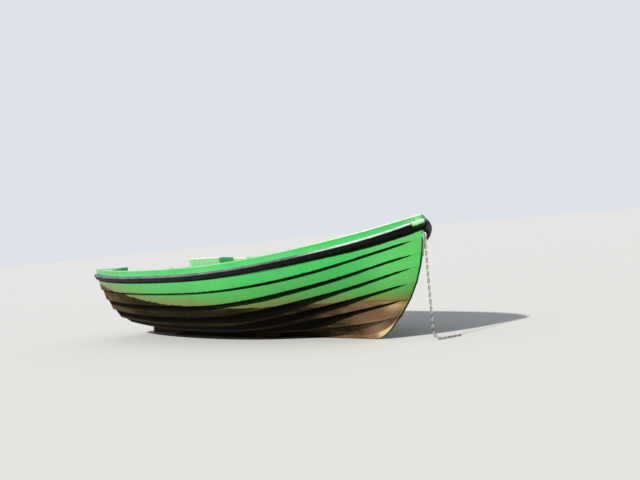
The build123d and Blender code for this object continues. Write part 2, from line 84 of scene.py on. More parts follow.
RUNNER_WIDTH = 32.0
RUNNER_START = 560.0
RUNNER_LENGTH = 1900.0
RUNNER_SLOPE = 170.0
RUNNER_HEIGHT = 110.0
RUNNER_CUT = 70.0
RUNNER_ROUND = 6.0

# Table of offsets: x, then the half breadths and heights of the plank edges from the keel up.
OFFSETS = (
    (0, (128, 244, 340, 411, 463, 501, 534), (113, 143, 197, 282, 378, 475, 587)),
    (764, (164, 320, 451, 552, 623, 674, 716), (75, 103, 162, 248, 348, 451, 565)),
    (1528, (180, 346, 486, 592, 667, 717, 763), (56, 85, 144, 233, 334, 442, 561)),
    (2291, (172, 322, 457, 562, 637, 696, 750), (66, 107, 168, 253, 348, 457, 577)),
    (2960, (128, 238, 337, 421, 495, 565, 634), (102, 187, 263, 342, 430, 521, 629)),
    (3485, (84, 140, 195, 251, 321, 388, 446), (147, 260, 352, 440, 527, 611, 702)),
)
BEFORE_STEM = (120, (76, 89, 97, 108, 124, 140, 158), (154, 285, 403, 513, 609, 707, 789))
STEM_X = (3693, 3802, 3884, 3934, 3964, 3984, 3992)
STEM_Z = (196, 309, 430, 545, 640, 746, 829)
RABBET = ((0, 85), (764, 45), (1528, 30), (2291, 28), (2960, 36), (3485, 68), (3575, 106), (3645, 152))
# Share of the lap's full depth at each x of the offsets, and just before the stem
LAPS = (1.0, 1.0, 1.0, 1.0, 0.95, 0.8, 0.15)
SHEER_AFT = OFFSETS[0][2][-1]


def rake(z):
    """x of the sloping transom at height z."""
    return (SHEER_AFT - z) * math.tan(math.radians(TRANSOM_RAKE))


def plank_edge(j):
    """Points of plank edge j, counted from the keel up, from the transom to the stem."""
    points = [(x or rake(heights[j]), breadths[j], heights[j]) for x, breadths, heights in OFFSETS]
    back, breadths, heights = BEFORE_STEM
    points.append((STEM_X[j] - back, breadths[j], heights[j]))
    points.append((STEM_X[j], STEM_WIDTH / 2, STEM_Z[j]))
    return np.array(points, float)


def lap_edge(j):
    """Lower lip of the plank above edge j, which stands out over it by the lap's depth."""
    points = []
    for row, share in enumerate(LAPS):
        (x, y, z), upper = EDGES[j][row], EDGES[j + 1][row]
        dy, dz = upper[1] - y, upper[2] - z
        size, depth = math.hypot(dy, dz), LAP * share
        y += dz / size * depth
        z -= dy / size * depth
        points.append((rake(z) if row == 0 else x, y, z))
    x, y, z = EDGES[j][-1]
    points.append((x + LAP_AT_STEM, y, z - LAP_AT_STEM))
    return np.array(points, float)


def keel_half(x):
    """Half breadth of the keel, which narrows to the stem's width."""
    return np.interp(x, [KEEL_TAPER, RABBET[-1][0]], [KEEL_WIDTH / 2, STEM_WIDTH / 2])


EDGES = [plank_edge(j) for j in range(len(STEM_X))]
RABBET_LINE = np.array([(x or rake(z), keel_half(x), z) for x, z in RABBET], float)


class Line:
    """Cubic curve through points, with its ends' slopes from the four end points."""

    def __init__(self, points):
        self.p = np.asarray(points, float)
        step = np.linalg.norm(np.diff(self.p, axis=0), axis=1)
        self.t = np.concatenate([[0], np.cumsum(step)])
        n = len(self.t)
        h = np.diff(self.t)
        a = np.zeros((n, n))
        b = np.zeros((n, 3))
        a[0, 0] = a[-1, -1] = 1
        b[0] = self.end_slope(self.t[:4], self.p[:4], self.t[0])
        b[-1] = self.end_slope(self.t[-4:], self.p[-4:], self.t[-1])
        for i in range(1, n - 1):
            a[i, i - 1], a[i, i], a[i, i + 1] = h[i], 2 * (h[i - 1] + h[i]), h[i - 1]
            b[i] = 3 * (h[i] * (self.p[i] - self.p[i - 1]) / h[i - 1]
                        + h[i - 1] * (self.p[i + 1] - self.p[i]) / h[i])
        self.m = np.linalg.solve(a, b)

    @staticmethod
    def end_slope(t, p, at):
        """Slope at one end of the cubic through four points."""
        powers = np.vander(t - at, 4, increasing=True)
        return np.linalg.solve(powers, p)[1]

    def at(self, shares):
        """Points at shares of the curve's own parameter, 0 to 1."""
        s = np.asarray(shares) * self.t[-1]
        i = np.clip(np.searchsorted(self.t, s, side="right") - 1, 0, len(self.t) - 2)
        h = self.t[i + 1] - self.t[i]
        u = ((s - self.t[i]) / h)[:, None]
        h = h[:, None]
        p0, p1, m0, m1 = self.p[i], self.p[i + 1], self.m[i], self.m[i + 1]
        return ((2 * u**3 - 3 * u**2 + 1) * p0 + (u**3 - 2 * u**2 + u) * h * m0
                + (-2 * u**3 + 3 * u**2) * p1 + (u**3 - u**2) * h * m1)


# Mesh helpers

def framed(points, side=1):
    """Millimetres from the transom, port side, to metres in the frame, on the side asked for."""
    p = np.array(points, float)
    p[..., 0] -= MIDDLE_X
    p[..., 1] *= side
    return p * MM


def rounded_ring(ring, radii, steps=3):
    """Replaces the corners of a grid of points (rows, corners, 3) by small arcs across the rows."""
    out = []
    last = ring.shape[1] - 1
    for c in range(last + 1):
        corner = ring[:, c]
        if c in (0, last) or radii[c] == 0:
            out.append(corner)
            continue
        before, after = ring[:, c - 1] - corner, ring[:, c + 1] - corner
        far = np.linalg.norm(before, axis=1, keepdims=True)
        near = np.linalg.norm(after, axis=1, keepdims=True)
        r = np.minimum(radii[c], 0.45 * np.minimum(far, near))
        a = corner + before / far * r
        b = corner + after / near * r
        for u in np.arange(steps + 1) / steps:
            out.append((1 - u) ** 2 * a + 2 * u * (1 - u) * corner + u * u * b)
    return np.stack(out, axis=1)


def rounded_along(rows, radii, steps=4):
    """The same for corners along the rows of a grid."""
    return rounded_ring(rows.transpose(1, 0, 2), radii, steps).transpose(1, 0, 2)


def split_spans(ring, longest):
    """Adds points along the sides of a grid's rows, so that no side is longer than longest."""
    out = [ring[:, 0]]
    for c in range(1, ring.shape[1]):
        start, span = ring[:, c - 1], ring[:, c] - ring[:, c - 1]
        n = max(1, math.ceil(np.linalg.norm(span, axis=1).max() / longest))
        for k in range(1, n + 1):
            out.append(start + span * k / n)
    return np.stack(out, axis=1)


def across(points):
    """The same points on the other side of the centreline."""
    return points * [1, -1, 1]


def add_to_scene(name, data):
    piece = bpy.data.objects.new(name, data)
    bpy.context.scene.collection.objects.link(piece)
    return piece


class Builder:
    """Collects grids and polygons, and makes one mesh of them. Each point may carry paint values."""

    def __init__(self, **defaults):
        self.points, self.faces = [], []
        self.defaults = defaults
        self.layers = {name: [] for name in defaults}

    def add_points(self, points, paint):
        """Adds points with their paint values; returns the number of the first."""
        base = len(self.points)
        points = np.asarray(points, float)
        self.points.extend(points.reshape(-1, 3).tolist())
        for name, values in self.layers.items():
            given = paint.get(name, self.defaults[name])
            values.extend(np.broadcast_to(given, points.shape[:-1]).ravel().tolist())
        return base

    def grid(self, points, closed=False, **paint):
        """Adds a grid of points (rows, columns, 3), closed or open across its rows."""
        rows, cols = points.shape[:2]
        base = self.add_points(points, paint)
        for row in range(base, base + (rows - 1) * cols, cols):
            for j in range(cols if closed else cols - 1):
                k = (j + 1) % cols
                self.faces.append((row + j, row + k, row + cols + k, row + cols + j))

    def bar(self, rings, **paint):
        """Adds a closed grid with a flat end at each side."""
        self.grid(rings, closed=True, **paint)
        for ring in (rings[0], rings[-1]):
            self.polygon(ring)

    def both_sides(self, points, **paint):
        """Adds an open grid in millimetres to port, and the same to starboard."""
        for side in (1, -1):
            self.grid(framed(points, side), **paint)

    def polygon(self, points, **paint):
        base = self.add_points(points, paint)
        self.faces.append(tuple(range(base, base + len(points))))

    def finish(self, name, smooth, merge=0.00005):
        """Makes the object: points nearer than merge become one, edges under the angle are smooth."""
        mesh = bpy.data.meshes.new(name)
        mesh.from_pydata(self.points, [], self.faces)
        for layer, values in self.layers.items():
            attribute = mesh.attributes.new(layer, "FLOAT", "POINT")
            attribute.data.foreach_set("value", np.array(values, np.float32))
        bm = bmesh.new()
        bm.from_mesh(mesh)
        bmesh.ops.remove_doubles(bm, verts=bm.verts, dist=merge)
        bmesh.ops.recalc_face_normals(bm, faces=bm.faces)
        limit = math.radians(smooth)
        for face in bm.faces:
            face.smooth = True
        for edge in bm.edges:
            edge.smooth = len(edge.link_faces) == 2 and edge.calc_face_angle(0.0) < limit
        bm.to_mesh(mesh)
        bm.free()
        return add_to_scene(name, mesh)


def arc(out, up, radius, start, end, steps):
    """Points of an arc in a section, angles in degrees."""
    angles = np.radians(np.linspace(start, end, steps + 1))
    return [(out + radius * math.cos(a), up + radius * math.sin(a)) for a in angles]


def set_up(piece, material, slot, *nodes):
    """Gives a finished piece its material, ties it to the body, and hides the CAD nodes that it stands
    for.
    """
    piece.data.materials.append(material)
    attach(piece, BODY)
    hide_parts(*nodes)
    return piece


# Shares along each long edge: even over the boat and closer together towards the bow
EVEN = np.linspace(0, 1, 221)
CROWDING = 0.09
SHARES = EVEN + CROWDING * np.sin(math.pi * EVEN) * EVEN


# Paint values on the hull

# Height of the brown slime's upper line along the boat
SLIME_X = (0, 200, 500, 800, 1100, 1400, 1900, 2300, 2700, 3000, 3300, 3550, 3800, 4100)
SLIME_Z = (530, 515, 468, 425, 385, 352, 330, 300, 302, 314, 306, 306, 300, 306)


def above_slime(points):
    """Height above the line that the brown slime reaches, in metres."""
    return (points[..., 2] - np.interp(points[..., 0], SLIME_X, SLIME_Z)) * MM


# Width of the painted shadow, with some dirt in the corner, under each lap, from the lowest up, by the
# distance from the lap's end at the stem
LAP_SHADOW_AT = (20, 100, 200, 300, 400, 550, 700, 900, 1200, 1600, 2000)
LAP_SHADOW = (
    (0, 6, 13, 20, 28, 33, 36, 36, 36, 36, 36),
    (6, 19, 30, 42, 54, 78, 120, 140, 140, 120, 100),
    (3, 15, 25, 34, 48, 72, 79, 95, 110, 120, 100),
    (4, 13, 21, 27, 36, 42, 56, 76, 100, 110, 90),
    (4, 12, 16, 21, 31, 39, 44, 46, 52, 47, 56),
    (0, 12, 16, 18, 20, 24, 26, 29, 26, 18, 14),
)
# How far it also reaches over each lap's lip, by the same distance
LAP_SHADOW_ABOVE_AT = (30, 120, 300)
LAP_SHADOW_ABOVE = ((0, 2, 4), (0, 6, 3), (0, 6, 5), (0, 6, 5), (0, 8, 5), (0, 8, 8))
# How much of the paint value is lost where the painted shadow thins out towards a lap's end
LAP_SHADOW_END = ((20, 50), (1.2, 0.0))
# Width of the painted shadow, with some dirt, under the rail, by the distance from the stem
RAIL_SHADOW = ((0, 60, 250, 400, 700, 1100), (30, 39, 48, 45, 35, 28))
# A point this much further inside the painted shadow has 1 more of the paint value
SHADOW_STEP = 24.0
# The strip along a lap's lip, rubbed and painted as a highlight, and how near the stem it stops
LIP_WIDTH = 12.0
LIP_END = 60.0


def section_lengths(skin):
    """How far each point lies up the section from the keel."""
    step = np.linalg.norm(np.diff(skin, axis=1), axis=2)
    return np.concatenate([np.zeros((len(skin), 1)), np.cumsum(step, axis=1)], axis=1)


def lengths_at(skin, lengths, line):
    """How far up each section the line lies."""
    nearest = np.argmin(np.linalg.norm(skin - line[:, None, :], axis=2), axis=1)
    return lengths[np.arange(len(skin)), nearest][:, None]


def lap_paint(skin, ring):
    """Painted shadow with some dirt round the laps and under the rail, 0.5 at its edge and more inside;
    and the lips, rubbed and painted as highlights.
    """
    lengths = section_lengths(skin)
    grime = np.full(lengths.shape, -0.5)
    lip_highlights = np.zeros(lengths.shape)
    for j, (widths, above) in enumerate(zip(LAP_SHADOW, LAP_SHADOW_ABOVE)):
        corner = lengths_at(skin, lengths, ring[:, 1 + 2 * j])
        lip = lengths_at(skin, lengths, ring[:, 2 + 2 * j])
        to_stem = (ring[-1, 1 + 2 * j, 0] - ring[:, 1 + 2 * j, 0])[:, None]
        under = np.interp(to_stem, LAP_SHADOW_AT, widths) - (corner - lengths)
        above = np.interp(to_stem, LAP_SHADOW_ABOVE_AT, above)
        over = above - (lengths - lip)
        ended = np.interp(to_stem, *LAP_SHADOW_END)
        grime = np.maximum(grime, 0.5 + np.minimum(under, over) / SHADOW_STEP - ended)
        lip_highlights = np.maximum(lip_highlights, (1 - np.abs(lengths - lip - above) / LIP_WIDTH) * (to_stem > LIP_END))
    to_stem = (ring[-1, -1, 0] - ring[:, -1, 0])[:, None]
    under = np.interp(to_stem, *RAIL_SHADOW) - (lengths[:, -1:] - lengths)
    return np.clip(np.maximum(grime, 0.5 + under / SHADOW_STEP), -0.5, 1.5), lip_highlights


# Hull

SKIN_STEP = 20.0
INSIDE_STEP = 60.0
# Rows that the rounding at the transom adds before the skin's own
START_ROWS = 5


def hull_lines():
    """Corners of the planking's section from the keel up, and how much each is rounded."""
    lines = [RABBET_LINE, EDGES[0]]
    radii = [0, PLANK_ROUND]
    for j in range(len(EDGES) - 1):
        lines += [lap_edge(j), EDGES[j + 1]]
        radii += [LAP_ROUND, PLANK_ROUND]
    return np.stack([Line(line).at(SHARES) for line in lines], axis=1), radii


def planking():
    """The section's corners, the skin through them, and the skin with the rows that round its ends."""
    ring, radii = hull_lines()
    skin = split_spans(rounded_ring(ring, radii), SKIN_STEP)
    # one more row on the stem's middle and on the transom, to round the corners there
    stem = skin[-1] * [1, 0, 1]
    middle = np.array([rake(TRANSOM_MIDDLE), 0.0, TRANSOM_MIDDLE])
    inset = skin[0] + (middle - skin[0]) * 0.05
    inset[:, 0] = rake(inset[:, 2])
    whole = np.concatenate([inset[None], skin, stem[None]])
    radii = [0, TRANSOM_ROUND] + [0] * (len(skin) - 2) + [STEM_ROUND, 0]
    return ring, skin, rounded_along(whole, radii)


def build_hull():
    ring, skin, whole = planking()
    b = Builder(grime=0.0, slime=1.0, lip=0.0, inside=0.0)
    # the paint of the end rows follows the first and the last row of the skin
    extra = (START_ROWS, len(whole) - len(skin) - START_ROWS)
    # painted shadow with some dirt under the laps and the rail, and the lips' rubbed and painted highlight
    grime, lip = (np.pad(paint, (extra, (0, 0)), mode="edge") for paint in lap_paint(skin, ring))
    b.both_sides(whole, grime=grime, lip=lip, slime=above_slime(whole))
    outline = np.concatenate([across(whole[0]), whole[0][::-1]])
    b.polygon(framed(outline), slime=above_slime(outline))
    keel_and_runners(b)
    inner = inner_skin(ring)
    b.both_sides(inner, inside=1.0)
    b.grid(framed(np.stack([across(inner[:, 0]), inner[:, 0]], axis=1)), inside=1.0)
    b.polygon(framed(np.concatenate([across(inner[0]), inner[0][::-1]])), inside=1.0)
    b.grid(framed(np.stack([across(inner[-1]), inner[-1]], axis=1)), inside=1.0)
    # the wall's top edge, along both sides and over the transom and the stem
    top_out, top_in = skin[:, -1], inner[:, -1]
    b.both_sides(np.stack([top_out, top_in], axis=1))
    b.polygon(framed([top_out[0], across(top_out[0]), across(top_in[0]), top_in[0]]))
    b.polygon(framed([top_out[-1], top_in[-1], across(top_in[-1]), across(top_out[-1])]))
    return b.finish("moulded_hull", smooth=34)


def inner_skin(ring):
    """The wall's inner face: the plank edges moved in, square to the planking."""
    lines = np.concatenate([ring[:, :1], ring[:, 1::2]], axis=1)
    lines = split_spans(lines, INSIDE_STEP)
    along = np.gradient(lines, axis=0)
    upward = np.gradient(lines, axis=1)
    normal = np.cross(upward, along)
    normal /= np.linalg.norm(normal, axis=2, keepdims=True)
    normal[normal[..., 1] < 0] *= -1
    inner = lines - normal * WALL
    inner[..., 0] = np.maximum(inner[..., 0], rake(inner[..., 2]) + TRANSOM_WALL)
    inner[..., 0] = np.minimum(inner[..., 0], lines[-1:, :, 0] - STEM_WALL)
    inner[..., 1] = np.maximum(inner[..., 1], STEM_WIDTH / 4)
    return inner


def keel_and_runners(b):
    """Keel bar with its curved forefoot, and the two bilge runners."""
    rabbet = Line(RABBET_LINE).at(SHARES)
    long, high = FOREFOOT[0] - KEEL_RUN, FOREFOOT[1]
    radius = (long * long + high * high) / (2 * high)
    angles = np.linspace(0, 2 * math.atan2(high, long), 18)[1:]
    straight = np.linspace(rake(0.0), KEEL_RUN, 60)
    xs = np.array([*straight, *(KEEL_RUN + radius * np.sin(angles)), RABBET[-1][0]])
    zs = np.array([*(straight * 0), *(radius * (1 - np.cos(angles))), RABBET[-1][1]])
    # the bar's top lies just inside the planking
    top = np.maximum(np.interp(xs, rabbet[:, 0], rabbet[:, 2]) + 1.0, zs + 0.5)
    wide = keel_half(xs)
    left = np.stack([xs, wide, top], axis=1)
    low_left = np.stack([xs, wide, zs], axis=1)
    bar = np.stack([left, low_left, across(low_left), across(left)], axis=1)
    bar = split_spans(rounded_ring(bar, [0, KEEL_ROUND, KEEL_ROUND, 0]), SKIN_STEP)
    b.grid(framed(bar), slime=above_slime(bar))
    b.polygon(framed(bar[0]), slime=above_slime(bar[0]))
    runner = runner_grid()
    b.both_sides(runner, slime=above_slime(runner))


def runner_grid():
    """A straight bar from the floor up into the planking, sloped at both ends, with more rows there."""
    slope, length = RUNNER_SLOPE, RUNNER_LENGTH
    end = np.array([*np.linspace(RUNNER_CUT, slope, 6), slope + 20])
    straight = np.linspace(slope + 60, length - slope - 60, 20)
    xs = np.array([*end, *straight, *(length - end[::-1])])
    low = np.interp(xs, [0, slope, length - slope, length], [RUNNER_HEIGHT, 0, 0, RUNNER_HEIGHT])
    y0, y1 = RUNNER_Y - RUNNER_WIDTH / 2, RUNNER_Y + RUNNER_WIDTH / 2
    rows = []
    for x, z in zip(xs + RUNNER_START, low):
        top = max(plank_height(x), z + 1)
        rows.append([(x, y0, top), (x, y0, z), (x, y1, z), (x, y1, top)])
    return rounded_ring(np.array(rows, float), [0, RUNNER_ROUND, RUNNER_ROUND, 0])


def plank_height(x):
    """Height of the lowest plank over the runner, just inside its outer face."""
    rabbet, edge = Line(RABBET_LINE).at(SHARES), Line(EDGES[0]).at(SHARES)
    low = [np.interp(x, rabbet[:, 0], rabbet[:, i]) for i in (1, 2)]
    high = [np.interp(x, edge[:, 0], edge[:, i]) for i in (1, 2)]
    return low[1] + (high[1] - low[1]) * (RUNNER_Y - low[0]) / (high[0] - low[0]) + 5.0


# Gunwale and fenders, carried along the sheer

# x of the sections that carry the profile of a rail or a fender
SECTIONS = [0, 380, 764, 1528, 2291, 2960, 3300, 3485, 3640, 3780, 3880, 3950]
SHEER = Line(EDGES[-1]).at(np.linspace(0, 1, 8001))
SHEER_SLOPE = np.gradient(SHEER, axis=0)


def sheer_at(x):
    """Point on the port sheer at x, and the horizontal unit normal there."""
    i = min(np.searchsorted(SHEER[:, 0], x), len(SHEER) - 1)
    dx, dy, _ = SHEER_SLOPE[i]
    size = math.hypot(dx, dy)
    return SHEER[i], (-dy / size, dx / size)


def along_sheer(profile):
    """Long edges of a profile, from the transom to the centreline at the bow.

    Each corner of the profile is outwards, up, and its share of the rail's rise towards the stem.
    """
    outs, ups, shares = np.array(profile).T
    rows = []
    for x in SECTIONS:
        point, (nx, ny) = sheer_at(x)
        rise = RAIL_RISE * max(1 - (STEM_X[-1] - x) / RAIL_RISE_LENGTH, 0) ** 2
        z = point[2] + ups + shares * rise
        if x == 0:
            rows.append((rake(z), point[1] + outs, z))
        else:
            rows.append((point[0] + nx * outs, point[1] + ny * outs, z))
    # the edges meet those of the other side where the rail's line crosses the centreline
    point, (nx, ny) = sheer_at(STEM_X[-1] - 1)
    _, dy, dz = SHEER_SLOPE[-1]
    top = point[2] - point[1] * dz / dy
    rows.append((point[0] + (outs + point[1] * ny) / nx, outs * 0, top + ups + shares * RAIL_RISE))
    return [Line(line) for line in np.array(rows).transpose(2, 0, 1)]


def capped(rows, radius):
    """Rounds over the ends of a bar: adds a smaller ring inside each end and an arc between."""
    first, last = ((end + end.mean(axis=0)) / 2 for end in rows[[0, -1]])
    radii = [0, radius] + [0] * (len(rows) - 2) + [radius, 0]
    return rounded_along(np.concatenate([first[None], rows, last[None]]), radii)


def risen(*runs):
    """Corners of a profile, from runs of corners that take the same share of the rail's rise."""
    return [(out, up, share) for corners, share in runs for out, up in corners]


def gunwale_profile():
    """Rail and coaming in section, with a round bead along the top."""
    foot, corner, hollow = RAIL_FOOT_ROUND, RAIL_ROUND, RAIL_HOLLOW
    low = [(0.0, -RAIL_DROP)] + arc(RAIL_OUT - foot, foot - RAIL_DROP, foot, -90, 0, 3)
    high = arc(RAIL_OUT - corner, RAIL_TOP - corner, corner, 0, 90, 6)
    high += arc(hollow, RAIL_TOP + hollow, hollow, -90, -180, 3)
    bead = arc(-WALL / 2, COAMING_HEIGHT - BEAD, BEAD, -30, 210, 16)
    bead += [(-WALL, 40.0), (-WALL, 0.0)]
    return risen((low, 0), (high, 1), (bead, 0))


def build_gunwale():
    """Both gunwales, in one loop round the bow."""
    profile = gunwale_profile()
    lines = along_sheer(profile)
    half = np.stack([line.at(SHARES) for line in lines], axis=1)
    whole = np.concatenate([half, across(half[:-1])[::-1]])
    radii = [0] * len(whole)
    radii[len(half) - 1] = BOW_ROUND
    whole = capped(rounded_along(whole, radii, steps=6), 4.0)
    outs, ups, _ = np.array(profile).T
    # the paint: the bead, worn and painted as a highlight; the rail's corner, rubbed and painted as a
    # highlight; and painted shadow on the rail's lower face
    bead = np.clip((ups - (COAMING_HEIGHT - 1.6 * BEAD)) / (1.6 * BEAD), 0, 1)
    rail_corner_highlight = np.clip(1 - np.hypot(outs - RAIL_OUT, ups - RAIL_TOP) / 16.0, 0, 1) * (ups < RAIL_TOP + 1)
    face = (outs > RAIL_OUT - 5) * (ups < RAIL_TOP * 0.6)
    b = Builder(grime=0.0, lip=0.0, bead=0.0)
    b.bar(framed(whole), bead=bead, lip=rail_corner_highlight, grime=face)
    return b.finish("gunwale_moulding", smooth=40)


def fender_profile():
    """Round upper corner, outer face that slants back, and a hollow over the rail."""
    out, up = FENDER_OUT - FENDER_NOSE, FENDER_TOP - FENDER_NOSE
    foot_out, foot_up = FENDER_FOOT - out, -FENDER_DROP - up
    lowest = math.atan2(foot_up, foot_out) + math.acos(FENDER_NOSE / math.hypot(foot_out, foot_up))
    lowest = math.degrees(lowest)
    foot, fit = FENDER_FOOT_ROUND, FENDER_FIT
    low = [(fit, -FENDER_DROP)]
    low += arc(FENDER_FOOT - foot + fit, foot - FENDER_DROP, foot, -90, lowest, 4)
    high = arc(out, up, FENDER_NOSE, lowest, 90, 14)
    high += [(fit, FENDER_TOP), (fit, RAIL_TOP + fit), (RAIL_OUT + fit, RAIL_TOP + fit)]
    under = [(RAIL_OUT + fit, -RAIL_DROP - fit), (fit, -RAIL_DROP - fit)]
    return risen((low, 0), (high, 1), (under, 0))


def build_fender(name, side):
    """One side's fender, which stops short of the stem."""
    profile = fender_profile()
    lines = along_sheer(profile)
    point, (nx, ny) = sheer_at(STEM_X[-1] - FENDER_STOP[name])
    ahead = np.array([ny, -nx])
    dense = np.linspace(0, 1, 2001)
    rows = []
    for line in lines:
        track = line.at(dense)
        beyond = (track[:, :2] - point[:2]) @ ahead
        stop = dense[np.argmax(beyond > 0)] if (beyond > 0).any() else 1.0
        rows.append(line.at(SHARES * stop))
    rows = capped(np.stack(rows, axis=1), 5.0)
    outs, ups, _ = np.array(profile).T
    # top: how far up the outer face, for the grey and the painted highlight there
    top = np.clip((ups - FENDER_TOP + 24) / 24, 0, 1) * (outs > 2)
    b = Builder(top=0.0)
    b.bar(framed(rows, side), top=top)
    return b.finish("rubber_fender_" + name, smooth=40)


# Round bars: chain, shackle and eyes

# Gap between loose pieces
CLEAR = 0.3
# Merge distance for small fittings, in metres
FINE_MERGE = 0.00001


def stem_x(z):
    """x of the stem's face at height z."""
    return float(np.interp(z, STEM_Z, STEM_X))


EYE_Z = 764.0
EYE_X = stem_x(EYE_Z) + 22.5
EYE_HOLE, EYE_WIRE, EYE_SHANK = 24.0, 9.0, 7.0
SHACKLE_WIRE, SHACKLE_INSIDE = 7.0, 30.0
PIN = SHACKLE_WIRE / 2 + 0.5
PIN_Z = EYE_Z - EYE_HOLE / 2 + PIN + CLEAR
LEGS_Y = EYE_WIRE / 2 + CLEAR + 2 + SHACKLE_WIRE / 2
BOW_Z = PIN_Z - SHACKLE_INSIDE
LINK_WIRE, LINK_INSIDE, LINK_WIDTH = 5.5, 25.3, 20.5
LINK_HALF_LONG, LINK_HALF_WIDE = (LINK_INSIDE + LINK_WIRE) / 2, (LINK_WIDTH - LINK_WIRE) / 2
# Room under a link's middle line, a little over half its wire
LINK_REST = LINK_WIRE / 2 / math.cos(math.radians(30))
CHAIN_BEND, CHAIN_TAIL, CHAIN_SPIN = 80.0, 190.0, 45.0
STERN_EYE_Y, STERN_EYE_Z = 330.0, 500.0
STERN_EYE_RADIUS, STERN_EYE_WIRE, STERN_EYE_SWEEP = 14.0, 8.0, 2.7
PLUG_Z = 144.0


def turn(axis, degrees):
    """Matrix of a turn about x, y or z."""
    return np.array(Matrix.Rotation(math.radians(degrees), 3, axis))


def beside(axis):
    """A unit vector well off an axis."""
    return np.array([0.0, 0.0, 1.0]) if abs(axis[2]) < 0.9 else np.array([0.0, 1.0, 0.0])


def circle(centre, side, up, radius, sides):
    """Points of a circle in the plane of two unit vectors."""
    angles = np.linspace(0, 2 * math.pi, sides, endpoint=False)
    return [centre + (side * math.cos(a) + up * math.sin(a)) * radius for a in angles]


def bar_loop(points, radius, sides=12, closed=True):
    """Rings of a round bar along points; returns (rings, sides, 3)."""
    p = np.asarray(points, float)
    n = len(p)
    rings = []
    up = None
    for i in range(n):
        before = p[i - 1] if closed or i > 0 else p[i]
        after = p[(i + 1) % n] if closed or i < n - 1 else p[i]
        along = (after - before) / np.linalg.norm(after - before)
        # the last ring's direction, made square to the bar again, so that the rings don't twist
        up = beside(along) if up is None else up
        up = up - along * (up @ along)
        up /= np.linalg.norm(up)
        rings.append(circle(p[i], np.cross(along, up), up, radius, sides))
    return np.array(rings)


def closed_bar(points, radius, sides=12):
    """Rings of a bar whose last ring is the first one again."""
    rings = bar_loop(points, radius, sides)
    return np.concatenate([rings, rings[:1]])


def lathe(b, profile, origin, axis, sides=28):
    """Round form about an axis: profile is (distance along it, radius) pairs."""
    axis = np.array(axis, float) / np.linalg.norm(axis)
    side = np.cross(axis, beside(axis))
    side /= np.linalg.norm(side)
    up = np.cross(side, axis)
    rings = [circle(origin + axis * along, side, up, radius, sides) for along, radius in profile]
    b.grid(framed(rings), closed=True)
    for end in (0, -1):
        if profile[end][1] > 0:
            b.polygon(framed(rings[end]))


def rod_profile(half, radius, ease, in_by, down_by):
    """Profile of a short rod with both rims eased, by way of one point near each corner."""
    rim = [(half - ease, radius), (half - in_by, radius - down_by), (half, radius - ease), (half, 0)]
    return [(-along, r) for along, r in rim[::-1]] + rim


def link_path():
    """Middle line of a chain link: two half circles and the straights between."""
    path = []
    for centre, start in ((LINK_HALF_LONG - LINK_HALF_WIDE, -90), (LINK_HALF_WIDE - LINK_HALF_LONG, 90)):
        path += arc(centre, 0, LINK_HALF_WIDE, start, start + 180, 9)
    return [(x, y, 0.0) for x, y in path]


def build_chain():
    """Links from the shackle down to the floor, then a short run across it to port."""
    first_z = BOW_Z - LEGS_Y + SHACKLE_WIRE / 2 + LINK_WIRE / 2 + CLEAR - LINK_HALF_LONG
    # height of the links' middle where they lie aslant on the floor
    lie = LINK_HALF_WIDE * math.sin(math.radians(CHAIN_SPIN)) + LINK_REST + CLEAR
    drop = first_z - lie - CHAIN_BEND
    corner = CHAIN_BEND * math.pi / 2
    link = closed_bar(link_path(), LINK_WIRE / 2)
    b = Builder(link=0.0)
    index, distance = 0, 0.0
    while distance < drop + corner + CHAIN_TAIL:
        if distance < drop:
            spot, tilt, spin = (EYE_X, 0.0, first_z - distance), 90.0, 0.0
        else:
            swept = min((distance - drop) / CHAIN_BEND, math.pi / 2)
            run = max(distance - drop - corner, 0.0)
            tilt = 90.0 - math.degrees(swept)
            spin = CHAIN_SPIN * swept / (math.pi / 2)
            spot = (EYE_X, CHAIN_BEND * (1 - math.cos(swept)) + run,
                    lie + CHAIN_BEND * (1 - math.sin(swept)))
        # each link stands a quarter turn about the one before
        placed = turn("X", -tilt) @ turn("Z", 90.0) @ turn("X", 90.0 * (index % 2) + spin)
        # every other link is painted darker, as shade
        b.grid(framed(link @ placed.T + np.array(spot)), closed=True, link=index % 2)
        distance += LINK_INSIDE - CLEAR
        index += 1
    return b.finish("chain_links", smooth=60, merge=FINE_MERGE)


def build_shackle():
    b = Builder()
    leg = np.linspace(PIN_Z, BOW_Z, 6)
    bow = [(LEGS_Y, z) for z in leg] + arc(0, BOW_Z, LEGS_Y, 0, -180, 12)[1:]
    bow += [(-LEGS_Y, z) for z in leg[-2::-1]]
    bow = [(EYE_X, y, z) for y, z in bow]
    b.grid(framed(bar_loop(bow, SHACKLE_WIRE / 2, closed=False)), closed=True)
    ear = rod_profile((SHACKLE_WIRE + 1) / 2, SHACKLE_WIRE, 1.5, 0.5, 0.4)
    for side in (1, -1):
        lathe(b, ear, (EYE_X, side * LEGS_Y, PIN_Z), (0, 1, 0))
    lathe(b, rod_profile(LEGS_Y + 8, PIN, 1.0, 0.4, 0.3), (EYE_X, 0, PIN_Z), (0, 1, 0), sides=6)
    return b.finish("towing_shackle", smooth=50, merge=FINE_MERGE)


def build_bow_eye():
    b = Builder()
    radius = (EYE_HOLE + EYE_WIRE) / 2
    ring = circle([EYE_X, 0.0, EYE_Z], np.array([1, 0, 0]), np.array([0, 0, 1]), radius, 32)
    b.grid(framed(closed_bar(ring, EYE_WIRE / 2, sides=14)), closed=True)
    # the shank, with a collar against the stem
    root = stem_x(EYE_Z) - 3.0
    end = EYE_X - radius - root
    shank = [(0, EYE_SHANK), (4.6, EYE_SHANK), (5.2, EYE_SHANK - 0.4), (6.0, EYE_SHANK - 1.6),
             (end - 1, EYE_SHANK - 1.8), (end, 0)]
    lathe(b, shank, (root, 0.0, EYE_Z), (1, 0, 0))
    return b.finish("bow_ring", smooth=50, merge=FINE_MERGE)


